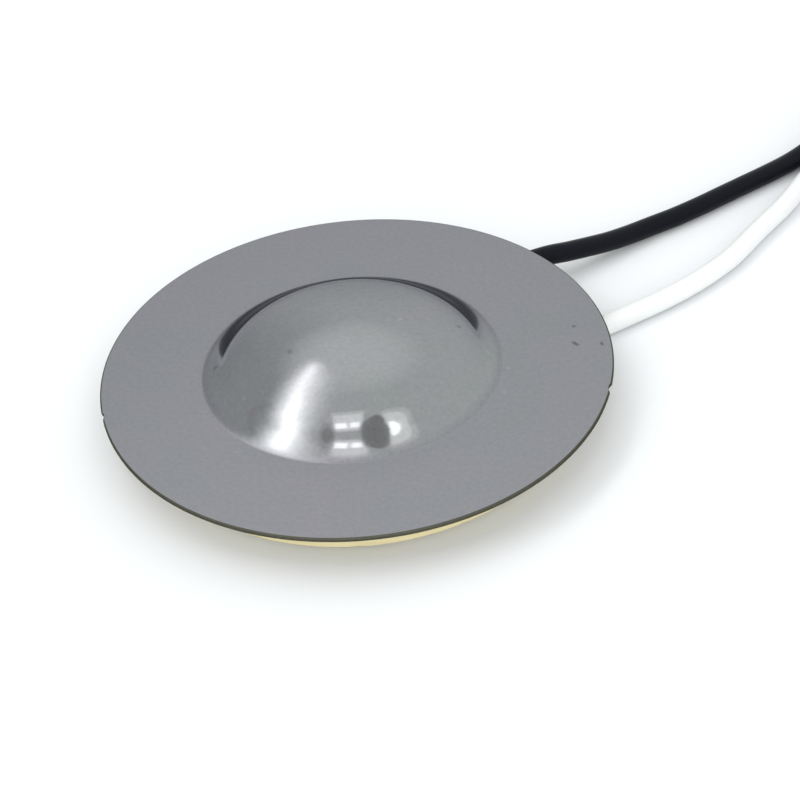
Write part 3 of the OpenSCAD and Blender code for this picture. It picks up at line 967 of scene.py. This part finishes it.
# %% Floor
floor_size = 6
floor_drop = 0.01 * mm
floor_mesh = bpy.data.meshes.new("floor")
floor_mesh.from_pydata([(x * floor_size / 2, y * floor_size / 2, 0)
                        for x, y in ((-1, -1), (1, -1), (1, 1), (-1, 1))], [], [(0, 1, 2, 3)])
white_card = finish("white_card", Roughness=0.9, Specular_IOR_Level=0.1,
                    Base_Color=(0.73, 0.74, 0.755, 1))[0]
floor_mesh.materials.append(white_card)
floor = put("floor", floor_mesh)
floor.location.z = -floor_drop
floor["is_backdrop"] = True

# %% The even light of the room
room = bpy.data.worlds.new("room")
bpy.context.scene.world = room
room.use_nodes = True
tree = room.node_tree
sky = tree.nodes["Background"]
direction = node(tree, "ShaderNodeTexCoord").outputs["Generated"]
room_light = (1.10, 1.13, 1.13, 1)
dim_light = (0.74, 0.78, 0.78, 1)
bright_light = (1.33, 1.38, 1.36, 1)


def patch(azimuth, elevation, inner, outer):
    """A soft round patch of the room. azimuth runs from +Y towards +X, all in degrees."""
    a, b = math.radians(azimuth), math.radians(elevation)
    middle = (math.sin(a) * math.cos(b), math.cos(a) * math.cos(b), math.sin(b))
    toward = node(tree, "ShaderNodeVectorMath", {0: direction, 1: middle},
                  operation="DOT_PRODUCT")
    return ramp(tree, toward.outputs["Value"], 0, 1, math.cos(math.radians(outer)),
                math.cos(math.radians(inner)), interpolation_type="SMOOTHSTEP")


dimmed = blend(tree, patch(-57, 28, 21, 51), room_light, dim_light)
brightened = blend(tree, patch(0, 51, 1, 20), dimmed, bright_light)
tree.links.new(brightened, sky.inputs["Color"])
sky.inputs["Strength"].default_value = 1.0

# %% The window, a long soft strip
light_height = 0.6
# Each row crosses the strip: its y, the x of the brightest place, how far the light fades to the
# left and to the right, and how strong it is
window_rows = [
    (0.520, -0.145, 0.150, 0.050, 0.00), (0.480, -0.134, 0.150, 0.050, 0.11),
    (0.455, -0.130, 0.160, 0.055, 0.44), (0.420, -0.135, 0.190, 0.070, 0.68),
    (0.380, -0.157, 0.230, 0.105, 0.70), (0.340, -0.174, 0.260, 0.145, 0.72),
    (0.300, -0.192, 0.290, 0.160, 0.75), (0.200, -0.240, 0.400, 0.200, 0.81),
    (0.100, -0.295, 0.540, 0.230, 0.91), (0.000, -0.380, 0.680, 0.290, 1.00),
    (-0.100, -0.455, 0.800, 0.320, 1.00), (-0.200, -0.520, 0.860, 0.345, 1.00),
    (-0.300, -0.595, 0.900, 0.330, 1.00), (-0.400, -0.680, 0.920, 0.340, 1.00),
]
window_columns = 24
window_strength = 5.2
# Each side fades as a power of the distance from its end, the left side faster
left_fade, right_fade = 4, 2


def hang(name, mesh, **values):
    """Hangs a flat mesh over the object as something that shines by itself."""
    material, tree, shader, _ = finish(name, Base_Color=(0, 0, 0, 1), Specular_IOR_Level=0,
                                       Emission_Color=(1, 1, 1, 1), **values)
    mesh.materials.append(material)
    hung = put(name, mesh)
    hung.visible_camera = False
    hung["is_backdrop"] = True
    return tree, shader


shape = bmesh.new()
strength = shape.verts.layers.float.new("strength")
rows = []
for y, middle, left, right, most in window_rows:
    row = []
    for k in range(window_columns + 1):
        place = 2 * k / window_columns - 1
        side_w, fade_by = (left, left_fade) if place < 0 else (right, right_fade)
        vertex = shape.verts.new((middle + place * side_w, y, light_height))
        vertex[strength] = most * (1 - abs(place)) ** fade_by
        row.append(vertex)
    rows.append(row)
for row, following in zip(rows, rows[1:]):
    for k in range(window_columns):
        shape.faces.new((row[k], row[k + 1], following[k + 1], following[k]))
window_mesh = bpy.data.meshes.new("window")
shape.to_mesh(window_mesh)
shape.free()
tree, shader = hang("window", window_mesh, Emission_Strength=window_strength)
fade = node(tree, "ShaderNodeAttribute", attribute_name="strength")
tree.links.new(fade.outputs["Fac"], shader.inputs["Alpha"])

# %% Lamps, their soft shades, and the dim cards between them
# Each is flat: its brightness, where the room's own is about 1.1, and its corners in metres.
# Later ones hang a little lower, so they cover the ones before them.
hung_gap = 0.001
hung_things = [
    ("ceiling_shade", 1.5, [(-0.165, -0.350), (0.010, -0.350), (0.040, -0.050), (-0.130, -0.050)]),
    ("ceiling_diffuser", 2.0, [(-0.155, -0.325), (0.005, -0.325), (0.030, -0.200),
                               (0.034, -0.090), (-0.122, -0.090), (-0.145, -0.200)]),
    ("tube_left", 3.8, [(-0.152, -0.290), (-0.072, -0.286), (-0.068, -0.210), (-0.136, -0.206)]),
    ("tube_right", 3.7, [(-0.050, -0.288), (0.008, -0.288), (0.012, -0.213), (-0.047, -0.210)]),
    ("lamp_halo", 1.42, [(0.120, -0.100), (0.170, -0.075), (0.250, -0.080), (0.320, -0.130),
                         (0.380, -0.220), (0.430, -0.320), (0.470, -0.430), (0.240, -0.430)]),
    ("lamp_shade", 1.95, [(0.140, -0.150), (0.175, -0.125), (0.235, -0.135), (0.290, -0.170),
                          (0.335, -0.235), (0.385, -0.330), (0.430, -0.430), (0.240, -0.430)]),
    ("lamp", 3.9, [(0.200, -0.258), (0.232, -0.260), (0.275, -0.295), (0.322, -0.345),
                   (0.350, -0.405), (0.354, -0.430), (0.240, -0.430)]),
    ("dim_arch", 0.56, [(0.020, -0.430), (0.018, -0.350), (0.021, -0.300), (0.027, -0.250),
                        (0.045, -0.200), (0.070, -0.158), (0.096, -0.134), (0.118, -0.140),
                        (0.139, -0.165), (0.158, -0.200), (0.175, -0.250), (0.198, -0.300),
                        (0.224, -0.350), (0.262, -0.430)]),
    ("dim_corner", 0.92, [(-0.360, -0.430), (-0.250, -0.260), (-0.192, -0.160),
                          (-0.166, -0.200), (-0.172, -0.430)]),
    ("dim_round", 0.66, [(-0.310, -0.430), (-0.270, -0.340), (-0.228, -0.278),
                         (-0.196, -0.250), (-0.182, -0.280), (-0.182, -0.340), (-0.200, -0.430)]),
    ("dim_beam", 0.70, [(-0.500, 0.135), (-0.560, 0.165), (-0.750, 0.190), (-1.050, 0.240),
                        (-1.050, 0.100), (-0.750, 0.110), (-0.600, 0.120)]),
]
for level, (name, brightness, corners) in enumerate(hung_things):
    flat_mesh = bpy.data.meshes.new(name)
    height = light_height - hung_gap * (level + 1)
    flat_mesh.from_pydata([(x, y, height) for x, y in corners], [], [range(len(corners))])
    hang(name, flat_mesh, Emission_Strength=brightness)

# %% A large soft light from the front
front_size, front_brightness = 0.9, 2.2
front = bpy.data.lights.new("front_fill", "AREA")
front.size = front_size
front.energy = front_brightness * math.pi * front_size ** 2
front_fill = put("front_fill", front)
front_fill.location = (0.05, -1.1, 0.38)
front_fill.rotation_euler = Vector(front_fill.location).to_track_quat("Z", "Y").to_euler()
front_fill.visible_camera = False

bpy.context.scene.view_settings.view_transform = "Standard"

# %% [markdown]
# ## Close
#
# The box of the imported solids and the box of the dressed object are written side by side, to see
# that the dressing stays inside the part's size.

# %% Compare the boxes and finish
bpy.context.view_layer.update()
dressed_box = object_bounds()
for label, (low, high) in (("solids", cad_box), ("dressed", dressed_box)):
    print(label, [round(x / mm, 2) for x in low], [round(x / mm, 2) for x in high])
